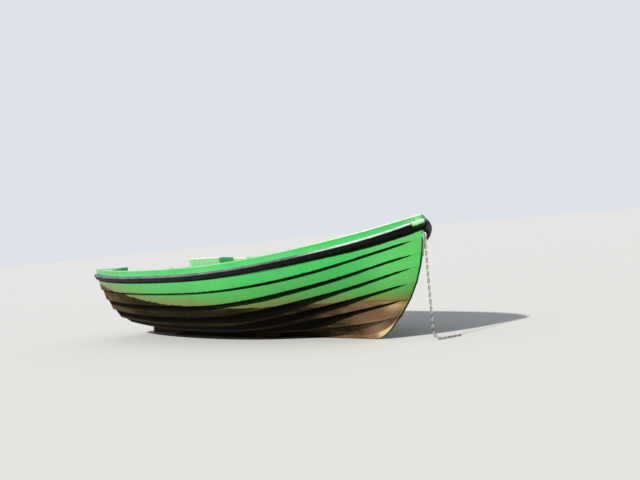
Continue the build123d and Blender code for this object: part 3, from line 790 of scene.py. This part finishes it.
def build_stern_eye(name, side):
    """A ring on a round base, square to the sloping transom."""
    b = Builder()
    slope = turn("Y", -TRANSOM_RAKE)
    outward = slope @ [-1.0, 0.0, 0.0]
    radius = STERN_EYE_RADIUS
    centre = np.array([rake(STERN_EYE_Z) - radius - CLEAR, STERN_EYE_Y, STERN_EYE_Z])
    ring = [centre + slope @ [-radius * math.cos(a), 0.0, radius * math.sin(a)]
            for a in np.linspace(-STERN_EYE_SWEEP, STERN_EYE_SWEEP, 28)]
    b.grid(framed(bar_loop(ring, STERN_EYE_WIRE / 2, closed=False), side), closed=True)
    base = (centre - outward * radius) * [1, side, 1]
    lathe(b, [(0, 15), (2.8, 15), (3.7, 14.4), (4, 13.4), (4, 0)], base, outward)
    return b.finish("stern_ring_" + name, smooth=50, merge=FINE_MERGE)


def build_plug():
    """The drain plug's flange and its hexagon, square to the transom."""
    b = Builder()
    base = (rake(PLUG_Z) - CLEAR, 0.0, PLUG_Z)
    outward = turn("Y", -TRANSOM_RAKE) @ [-1.0, 0.0, 0.0]
    lathe(b, [(0, 16), (3.8, 16), (4.7, 15.3), (5, 14), (5, 9.5), (5.6, 8.3)], base, outward)
    lathe(b, [(5, 8), (13, 8), (13.7, 7.6), (14, 6.8), (14, 0)], base, outward, sides=6)
    return b.finish("transom_drain_plug", smooth=50, merge=FINE_MERGE)


# Materials

def linear(color):
    """Linear red, green and blue of a colour: #RRGGBB, or linear already."""
    if not isinstance(color, str):
        return color
    values = [int(color[i:i + 2], 16) / 255 for i in (1, 3, 5)]
    return [v / 12.92 if v <= 0.04045 else ((v + 0.055) / 1.055) ** 2.4 for v in values]


class Nodes:
    """Short ways to add nodes to a tree."""

    def __init__(self, tree):
        self.tree = tree

    def node(self, kind, *values, at=None, **settings):
        """Adds a node, and feeds its first inputs and those at other names or numbers."""
        node = self.tree.nodes.new(kind)
        for key, value in settings.items():
            setattr(node, key, value)
        for place, value in [*enumerate(values), *(at or {}).items()]:
            self.feed(node.inputs[place], value)
        return node

    def feed(self, socket, value):
        if isinstance(value, bpy.types.NodeSocket):
            self.tree.links.new(value, socket)
        elif socket.type == "RGBA":
            socket.default_value = (*linear(value), 1)
        else:
            socket.default_value = value

    def math(self, operation, a, b=0):
        return self.node("ShaderNodeMath", a, b, operation=operation).outputs[0]

    def larger(self, a, b):
        return self.math("MAXIMUM", a, b)

    def seen_directly(self):
        """1 for the camera's rays, also by a mirror or through glass, and 0 for rays of light."""
        ray = self.node("ShaderNodeLightPath").outputs
        onward = self.larger(ray["Is Glossy Ray"], ray["Is Transmission Ray"])
        return self.larger(ray["Is Camera Ray"], onward)


class Finish(Nodes):
    """A material, with short names for its nodes. Its colour is built up in coats.

    Places x, y and z are in metres, in the frame. Colours are written as #RRGGBB.
    """

    def __init__(self, name):
        self.material = bpy.data.materials.new(name)
        self.material.use_nodes = True
        super().__init__(self.material.node_tree)
        self.shader = self.tree.nodes["Principled BSDF"]
        self.place = self.node("ShaderNodeTexCoord").outputs["Object"]
        self.x, self.y, self.z = self.node("ShaderNodeSeparateXYZ", self.place).outputs
        self.color = None
        self.normal = None

    def layer(self, name):
        """A paint value of the mesh."""
        return self.node("ShaderNodeAttribute", attribute_name=name).outputs["Fac"]

    def stretched(self, scales):
        return self.node("ShaderNodeMapping", self.place, at={"Scale": scales}).outputs["Vector"]

    def noise(self, scale, detail=4, roughness=0.5, stretch=None):
        """Cloudy values about 0.5; stretch has the pattern's own scales along x, y and z."""
        place = self.stretched(stretch) if stretch else self.place
        sizes = {"Scale": scale, "Detail": detail, "Roughness": roughness}
        return self.node("ShaderNodeTexNoise", place, at=sizes).outputs["Fac"]

    def cells(self, scale):
        """Distance from the middle of each cell of an irregular pattern."""
        return self.node("ShaderNodeTexVoronoi", self.place, at={"Scale": scale}).outputs["Distance"]

    def times(self, product, *others):
        for other in others:
            product = self.math("MULTIPLY", product, other)
        return product

    def plus(self, a, b):
        return self.math("ADD", a, b)

    def away(self, value):
        """How far a value is from 0, on either side."""
        return self.math("ABSOLUTE", value)

    def shaken(self, value, amount, *noise):
        """A value moved up and down by noise."""
        shift = self.math("SUBTRACT", self.noise(*noise), 0.5)
        return self.plus(value, self.times(shift, amount))

    def ramp(self, value, low, high, to_low=0, to_high=1):
        """Smooth ramp from to_low at low to to_high at high, level outside."""
        node = self.node("ShaderNodeMapRange", value, low, high, to_low, to_high,
                         interpolation_type="SMOOTHSTEP")
        return node.outputs["Result"]

    def fade(self, value, low, high, start=1):
        """Smooth ramp from start at low down to 0 at high."""
        return self.ramp(value, low, high, start, 0)

    def uneven(self, scale, low, high, detail=4):
        """Noise between two values, for a surface that is glossier in places."""
        return self.ramp(self.noise(scale, detail), 0.3, 0.7, low, high)

    def mix(self, share, a, b):
        return self.node("ShaderNodeMix", at={0: share, 6: a, 7: b}, data_type="RGBA").outputs[2]

    def coat(self, color, *shares):
        """Lays a colour over what is there, as strong as the product of the shares."""
        self.color = self.mix(self.times(*shares), self.color, color)

    def bump(self, value, distance, strength=1):
        inputs = {"Strength": strength, "Distance": distance, "Height": value}
        if self.normal is not None:
            inputs["Normal"] = self.normal
        self.normal = self.node("ShaderNodeBump", at=inputs).outputs["Normal"]

    def done(self, roughness, metallic=0, specular=0.5):
        for name, value in (("Base Color", self.color), ("Roughness", roughness), ("Metallic", metallic),
                            ("Specular IOR Level", specular), ("Normal", self.normal)):
            self.feed(self.shader.inputs[name], value)
        return self.material


GREEN = "#32C155"
GREEN_RAIL = "#3ABA58"
GREEN_PALE = "#68CE7E"
GREEN_DEEP = "#1E9642"
SCRATCHED = "#B0E0B4"
# the laps' lips, rubbed and painted as a highlight
RUBBED_HIGHLIGHT = "#AAE2B0"
# near-black painted shadow, with some dirt, on the green and on the slime
SHADOW_ON_GREEN = "#051504"
SHADOW_ON_MUD = "#110F08"
MUD_DARK = "#5C442D"
MUD_LIGHT = "#8E6F4D"


def faded_green(name, green):
    """Green gelcoat with pale patches, a deeper haze and fine scratches along the boat."""
    f = Finish(name)
    f.color = f.mix(f.times(f.ramp(f.noise(1.7), 0.38, 0.68), 0.3), green, GREEN_PALE)
    f.coat(GREEN_DEEP, f.ramp(f.noise(9, 5, 0.65), 0.5, 0.78), 0.22)
    f.coat(SCRATCHED, f.ramp(f.noise(60, 4, 0.7, (0.12, 1, 1.6)), 0.66, 0.72), 0.35)
    return f


def painted_shadow_coat(f, rough, brown=0, dull=0):
    """Painted shadow, with some dirt, in the corner under each plank and under the rail; returns the
    roughness and the gloss.
    """
    grime = f.ramp(f.shaken(f.layer("grime"), 0.3, 24, 3), 0.38, 0.62, 0, 0.97)
    f.coat(f.mix(brown, SHADOW_ON_GREEN, SHADOW_ON_MUD), grime)
    specular = f.ramp(f.larger(grime, dull), 0, 1, 0.5, 0.03)
    return f.plus(rough, f.times(grime, 0.35)), specular


def moulded(f, rough, specular):
    """Closes a green finish, with the mould's slow waves and its fine grain."""
    f.bump(f.noise(3, 2), 0.004, 0.35)
    f.bump(f.noise(420, 2), 0.00012)
    return f.done(rough, specular=specular)


def rail_gelcoat():
    """Rail and coaming, nearly white on the bead and the rail's corner, most of all by the stem: wear and
    a painted highlight.
    """
    f = faded_green("gunwale_gelcoat", GREEN_RAIL)
    worn = f.ramp(f.noise(40, 4, 0.6), 0.3, 0.6, 0.35, 1)
    # edge: how strongly the rail's corner is painted as a highlight, with wear, rising towards the stem
    edge = f.larger(f.times(worn, f.ramp(f.x, 1.2, 1.9, 0.1, 0.8)), f.ramp(f.x, 1.86, 1.92, 0, 0.95))
    # the stem head painted pale as a highlight, with wear
    f.coat("#CEF2C4", f.ramp(f.x, 1.9, 1.985), f.ramp(f.noise(60, 4, 0.6), 0.35, 0.65), 0.55)
    # the bead, worn and painted as a highlight, more towards the bow
    f.coat("#E8F6E6", f.ramp(f.layer("bead"), 0.25, 0.95), worn, f.ramp(f.x, 1, 1.7, 0.35, 0.95))
    f.coat("#F0F8EC", f.ramp(f.layer("lip"), 0.3, 0.8), edge)
    # a scraped place on the port coaming, just ahead of the stern block
    f.coat("#E2D6CE", f.ramp(f.x, -1.5, -1.45), f.fade(f.x, -1.3, -1.24),
           f.ramp(f.y, 0, 0.1), f.ramp(f.z, 0.628, 0.64), f.ramp(f.noise(45), 0.3, 0.5, 0.4, 0.95))
    return moulded(f, *painted_shadow_coat(f, f.uneven(22, 0.24, 0.42)))


def hull_gelcoat():
    """The planking, with lips rubbed and painted as highlights, the stains from the water with painted
    shade, and the stem's face painted dark as shade.
    """
    f = faded_green("hull_gelcoat", GREEN)
    # the laps' lips: rubbed, and painted lighter as a highlight
    lip = f.ramp(f.layer("lip"), 0.3, 0.8)
    f.coat(RUBBED_HIGHLIGHT, lip, f.ramp(f.noise(30, 4, 0.6), 0.36, 0.6, 0.25, 1), 0.4)
    f.coat("#C8CD96", f.ramp(f.x, 1.45, 1.8, 0, 0.1))
    brown, dull = slime(f)
    f.bump(f.times(brown, f.noise(140, 4, 0.7)), 0.0012)
    rough = f.plus(f.uneven(22, 0.24, 0.42), f.times(brown, 0.42))
    rough, specular = painted_shadow_coat(f, rough, brown, dull)
    # the stem's face is painted near black as shade between the band and the eye, with rust under the eye
    off_middle = f.away(f.y)
    stem_shade_and_rust = f.mix(f.ramp(f.z, 0.66, 0.72), "#0A1009", "#683820")
    f.coat(stem_shade_and_rust, f.fade(off_middle, 0.0062, 0.0078), f.ramp(f.x, 1.55, 1.56),
           f.fade(f.z, 0.735, 0.75), 0.95)
    # behind it a pale rim round the forefoot, just off the stem's face
    f.coat("#CEC28C", f.ramp(off_middle, 0.0078, 0.009), f.fade(off_middle, 0.015, 0.02),
           f.ramp(f.x, 1.4, 1.46), f.fade(f.z, 0.26, 0.33, 0.65))
    return moulded(f, rough, specular)


def slime(f):
    """Stains up from the water's line: an olive tint that is partly painted shade, then brown slime,
    painted near black as shadow further aft.

    Returns where the slime is and where it is dull.
    """
    level = f.shaken(f.layer("slime"), 0.035, 7, 5, 0.6)
    streaked = f.shaken(level, 0.07, 26, 4, 0.6, (1, 1, 0.06))
    # a deeper olive green up to 0.3 m above the slime's line: painted shade on the flared lower planks,
    # and some algae stain
    f.coat("#488E34", f.fade(streaked, 0.02, 0.3, 0.7))
    f.coat("#70742E", f.fade(streaked, -0.01, 0.1, 0.95))
    brown = f.fade(level, -0.006, 0.006)
    # painted shadow makes it near black aft of the bow and less so at the stern, broken by lighter patches
    lighter_patches = f.ramp(f.noise(4, 4, 0.6, (0.4, 1, 2.5)), 0.5, 0.64)
    shadow_black = f.times(f.fade(f.x, 0.85, 1.65, 0.97), f.ramp(f.x, -1.7, -1, 0.55, 1))
    shadow_black = f.math("SUBTRACT", shadow_black, f.times(lighter_patches, f.ramp(f.x, 0.3, 1, 0.12, 0.4)))
    f.coat(mud_color(f, level, shadow_black), brown, 0.96)
    # the line that the water left, towards the bow
    f.coat("#603C24", f.fade(f.away(level), 0.004, 0.011, 0.7), f.ramp(f.x, 1.3, 1.55))
    # dry flecks
    f.coat("#DED8C8", f.fade(f.cells(95), 0.1, 0.17), f.ramp(f.noise(9, 2), 0.5, 0.57),
           f.ramp(f.layer("slime"), 0, 0.08, 1, 0.1), f.ramp(f.x, 0.2, 1.2, 0.2, 0.7))
    return brown, f.times(brown, f.ramp(shadow_black, 0, 0.8, 0.5, 1))


def mud_color(f, level, shadow_black):
    """Colour of the slime by its height above its line: dried towards the bow, lighter low at the bow as
    painted light, and near black where painted shadow.
    """
    mud = f.mix(f.ramp(f.noise(5, 6, 0.65, (0.7, 1, 1.6)), 0.36, 0.66), MUD_DARK, MUD_LIGHT)
    rusty = f.times(f.ramp(f.noise(3.2, 5, 0.7, (0.6, 1, 1.5)), 0.55, 0.7), 0.4)
    dried = f.times(f.ramp(f.x, 1.58, 1.71, 0, 0.85), f.ramp(f.z, 0.2, 0.25, 0.35, 1))
    forward = f.ramp(f.x, 1.2, 1.5)
    reddish = f.times(f.fade(f.z, 0.2, 0.27, 0.45), forward)
    # foot: the lowest planks at the bow painted lighter, as light from below
    foot = f.times(f.fade(f.z, 0.1, 0.19, 0.6), forward)
    mossy = f.ramp(level, -0.04, -0.01, 0, 0.6)
    # the last coat is the painted shadow, near black aft
    for share, color in (
            (rusty, "#A8683C"), (dried, "#D8B480"), (reddish, "#7C5642"),
            (foot, "#BE9A76"), (mossy, "#7C703E"), (f.larger(shadow_black, 0), "#0D0B08")):
        mud = f.mix(share, mud, color)
    return mud


def quarter_gelcoat():
    """The stern blocks: a darker green as painted shade, the inboard face painted paler as lit, and pale
    along the top.
    """
    f = Finish("quarter_gelcoat")
    out = f.away(f.y)
    # the base green is darker, as painted shade on the faces turned from the light
    f.color = f.mix(f.ramp(f.noise(5), 0.35, 0.68), "#3EA462", "#50B872")
    # the inboard face painted paler, as lit
    lit_inboard_face = f.mix(f.ramp(f.noise(14, 5, 0.65), 0.36, 0.66), "#70B47E", "#8EC296")
    f.coat(lit_inboard_face, f.fade(out, 0.508, 0.512))
    crest = f.ramp(f.plus(f.z, f.times(out, 0.1)), 0.7165, 0.7215)
    f.coat("#E8F4E6", crest, f.ramp(f.noise(30), 0.3, 0.55, 0.6, 1),
           f.ramp(out, 0.52, 0.55, 1, 0.25))
    f.coat("#54603C", f.fade(f.plus(f.z, f.times(f.noise(9), 0.08)), 0.42, 0.52, 0.7))
    f.bump(f.noise(160, 3), 0.0004)
    return f.done(f.uneven(20, 0.36, 0.6))


def inner_gelcoat():
    """The inside: faded and chalky, dirty low down, with spots of mould."""
    f = Finish("inner_gelcoat")
    f.color = f.mix(f.ramp(f.noise(2.6), 0.35, 0.68), "#70B070", "#8EC68A")
    f.coat("#BAD6B0", f.ramp(f.noise(16, 5, 0.7), 0.46, 0.72), 0.35)
    low = f.fade(f.plus(f.z, f.times(f.noise(6), 0.1)), 0.13, 0.24)
    f.coat("#545834", low, f.ramp(f.noise(12, 5, 0.7), 0.38, 0.6, 0.35, 1), 0.75)
    f.coat("#465430", f.ramp(f.noise(55, 3, 0.6), 0.66, 0.72), 0.5)
    f.bump(f.noise(160, 3), 0.0004)
    f.bump(f.fade(f.cells(260), 0, 0.45), 0.0004)
    return f.done(f.uneven(20, 0.42, 0.68))


def rubber():
    """Grey on the upper face, from weathering and as painted light, and a painted highlight along the top
    towards the bow, mostly to starboard, with some chafe.
    """
    f = Finish("rubber_weathered_and_lit")
    f.color = f.mix(f.ramp(f.noise(12, 5, 0.6), 0.35, 0.65), "#090A08", "#12130F")
    top = f.layer("top")
    patchy = f.ramp(f.noise(18, 5, 0.65, (0.35, 1, 1)), 0.3, 0.62, 0.45, 1)
    # the upper face grey, more aft: weathering, and painted light
    f.coat("#7A7A82", f.ramp(top, 0.12, 0.42), f.ramp(f.x, 0.6, 1.4, 0.9, 0.55), patchy)
    # a painted highlight along the top towards the bow, less on the crown and mostly to starboard, with
    # some chafe
    f.coat("#CED4D4", f.ramp(top, 0.2, 0.42), f.ramp(f.x, 1.1, 1.65), f.ramp(top, 0.82, 0.96, 1, 0.3),
           f.ramp(f.y, -0.05, 0.01, 1, 0.2), patchy)
    f.coat("#646464", f.ramp(f.noise(70, 4, 0.7, (0.25, 1, 1)), 0.64, 0.72), 0.4)
    f.bump(f.noise(240, 3), 0.0003)
    f.bump(f.noise(8, 2), 0.002, 0.5)
    return f.done(f.uneven(30, 0.45, 0.62), specular=0.1)


def galvanised(name, rust=0.3, dark=0):
    """Zinc with its crystals, dirt and spots of rust, and painted shade on every other chain link; dark is
    1 for the band on the stem, painted near black as shade.
    """
    f = Finish(name)
    f.color = f.mix(f.ramp(f.cells(260), 0.1, 0.7), "#BCBCB8", "#E2E2DC")
    dirt = f.ramp(f.noise(150, 4, 0.6), 0.52, 0.64, 0.9 * dark, 0.6 + 0.35 * dark)
    # dirt, and painted shade on every other chain link
    f.coat("#302A24", f.larger(dirt, f.times(f.layer("link"), 0.9)))
    spots = f.ramp(f.noise(90, 5, 0.7), 0.62 - 0.3 * rust, 0.7 - 0.3 * rust)
    f.coat("#844A24", spots, 0.85 - 0.5 * dark)
    # the stem band painted near black, as shade
    f.coat("#0C110B", 0.85 * dark)
    f.bump(f.noise(500, 3), 0.0003)
    rough = f.plus(f.uneven(180, 0.34, 0.52, detail=3), f.times(spots, 0.3))
    return f.done(rough, metallic=0.45 * (1 - dark), specular=0.5 - 0.45 * dark)


def wood():
    f = Finish("weathered_wood")
    grain = f.noise(26, 6, 0.65, (1.6, 0.1, 2.6))
    pores = f.ramp(f.noise(170, 3, 0.6, (1, 0.06, 1.4)), 0.56, 0.66)
    f.color = f.mix(f.ramp(grain, 0.34, 0.66), "#705236", "#A88660")
    f.coat("#423020", pores, 0.6)
    f.coat("#969082", f.ramp(f.noise(7), 0.42, 0.66), 0.5)
    f.bump(grain, 0.0012)
    f.bump(pores, 0.0004)
    return f.done(f.ramp(grain, 0.3, 0.7, 0.62, 0.82))


def brass():
    f = Finish("dull_brass")
    f.color = f.mix(f.ramp(f.noise(60), 0.4, 0.62), "#BA944E", "#7A6438")
    f.coat("#588064", f.ramp(f.noise(130, 4, 0.7), 0.6, 0.68), 0.6)
    f.bump(f.noise(300, 3), 0.0002)
    return f.done(f.uneven(90, 0.3, 0.55, detail=3), metallic=0.8)


# The pieces

rail_green = rail_gelcoat()
pale_green = inner_gelcoat()
black_rubber = rubber()
steel = galvanised("galvanised_steel")

hull = set_up(build_hull(), hull_gelcoat(), "hull_gelcoat", "hull_shell")
hull.data.materials.append(pale_green)
inside = hull.data.attributes["inside"].data
for polygon in hull.data.polygons:
    if any(inside[v].value > 0.5 for v in polygon.vertices):
        polygon.material_index = 1

set_up(build_gunwale(), rail_green, "hull_gelcoat", "gunwale_port", "gunwale_starboard")
for name, side in (("port", 1), ("starboard", -1)):
    set_up(build_fender(name, side), black_rubber, "fender_rubber", "fender_" + name)
    set_up(build_stern_eye(name, side), steel, "galvanised_steel", "stern_eye_" + name)
set_up(build_chain(), steel, "galvanised_steel", "chain")
set_up(build_shackle(), galvanised("rusty_steel", rust=0.5), "galvanised_steel", "shackle")
set_up(build_bow_eye(), steel, "galvanised_steel", "bow_eye")
set_up(build_plug(), brass(), "plug_brass", "drain_plug")


def dress(node, material, bevel):
    """A CAD part kept as it is, with eased edges and a material."""
    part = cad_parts[node]
    part.data.materials.clear()
    part.data.materials.append(material)
    weld = part.modifiers.new("weld", "WELD")
    weld.merge_threshold = 0.00002
    if bevel:
        ease = part.modifiers.new("ease", "BEVEL")
        ease.width = bevel * MM
        ease.segments = 3
        ease.limit_method = "ANGLE"
        ease.angle_limit = math.radians(40)
    smooth = part.modifiers.new("even", "WEIGHTED_NORMAL")
    smooth.keep_sharp = True
    for polygon in part.data.polygons:
        polygon.use_smooth = True


# CAD parts of each material, with the width of their eased edges in millimetres
DRESSED = (
    (pale_green, {"sole": 0, "rowing_thwart": 6, "thwart_box": 4, "stern_seat": 6, "stern_locker": 4,
                  "bow_seat": 6, "bow_bulkhead": 3}),
    (quarter_gelcoat(), {"quarter_port": 6, "quarter_starboard": 6}),
    (rail_green, {"breasthook": 2, "transom_cap": 2.5, "rowlock_pad_port": 3, "rowlock_pad_starboard": 3}),
    (wood(), {"transom_pad_outer": 1.5, "transom_pad_inner": 2}),
    (steel, {"rowlock_socket_port": 0.8, "rowlock_socket_starboard": 0.8}),
    (galvanised("stem_band_steel", rust=0.4, dark=1), {"stem_band": 1}),
)
for material, parts in DRESSED:
    for node, bevel in parts.items():
        dress(node, material, bevel)


# Floor, light and camera

FLOOR_SIZE = 60.0
FLOOR_LIT = (0.24, 0.24, 0.24)
FLOOR_SEEN = (0.74, 0.74, 0.73)
SKY_COLOR = (0.86, 0.90, 0.96)
SKY_LIGHT = 0.38
SKY_SEEN = 0.85
SUN_DIRECTION = (-0.242, 0.970, -0.625)
CAMERA_PLACE = (8.05241, -5.72884, 0.91110)
CAMERA_YAW, CAMERA_ELEVATION, CAMERA_ROLL = 51.714, 0.803, -5.164
CAMERA_LENS = 65.188


def build_floor():
    """A floor that is pale to the camera and darker as a source of light for what stands on it."""
    mesh = bpy.data.meshes.new("floor")
    corners = [(x * FLOOR_SIZE, y * FLOOR_SIZE, 0) for x, y in ((-1, -1), (1, -1), (1, 1), (-1, 1))]
    mesh.from_pydata(corners, [], [(0, 1, 2, 3)])
    f = Finish("floor")
    f.color = f.mix(f.seen_directly(), FLOOR_LIT, FLOOR_SEEN)
    f.bump(f.noise(2, 2), 0.001)
    mesh.materials.append(f.done(0.9))
    floor = add_to_scene("floor", mesh)


def build_sky():
    """An even sky, brighter to the camera than as a source of light."""
    world = bpy.data.worlds.new("world")
    bpy.context.scene.world = world
    world.use_nodes = True
    n = Nodes(world.node_tree)
    sky = n.tree.nodes["Background"].inputs
    strength = n.node("ShaderNodeMapRange", n.seen_directly(), 0, 1, SKY_LIGHT, SKY_SEEN)
    n.feed(sky["Color"], SKY_COLOR)
    n.feed(sky["Strength"], strength.outputs["Result"])


def build_sun():
    sun = bpy.data.lights.new("sun", "SUN")
    sun.energy = 4.2
    sun.angle = math.radians(2)
    sun.color = (1.0, 0.97, 0.92)
    lamp = add_to_scene("sun", sun)
    lamp.rotation_euler = Vector(SUN_DIRECTION).to_track_quat("-Z", "Y").to_euler()


def build_camera():
    """The photo's camera: it looks aft and to port, and leans over by its roll."""
    data = bpy.data.cameras.new("camera")
    data.lens = CAMERA_LENS
    data.sensor_width = 36.0
    data.clip_end = 200.0
    camera = add_to_scene("camera", data)
    camera.matrix_world = Matrix.Translation(CAMERA_PLACE)
    for axis, degrees in (("Z", CAMERA_YAW), ("X", 90 - CAMERA_ELEVATION), ("Z", CAMERA_ROLL)):
        camera.matrix_world @= Matrix.Rotation(math.radians(degrees), 4, axis)
    bpy.context.scene.camera = camera


build_floor()
build_sky()
build_sun()
build_camera()
bpy.context.scene.view_settings.view_transform = "Standard"

bpy.context.view_layer.update()
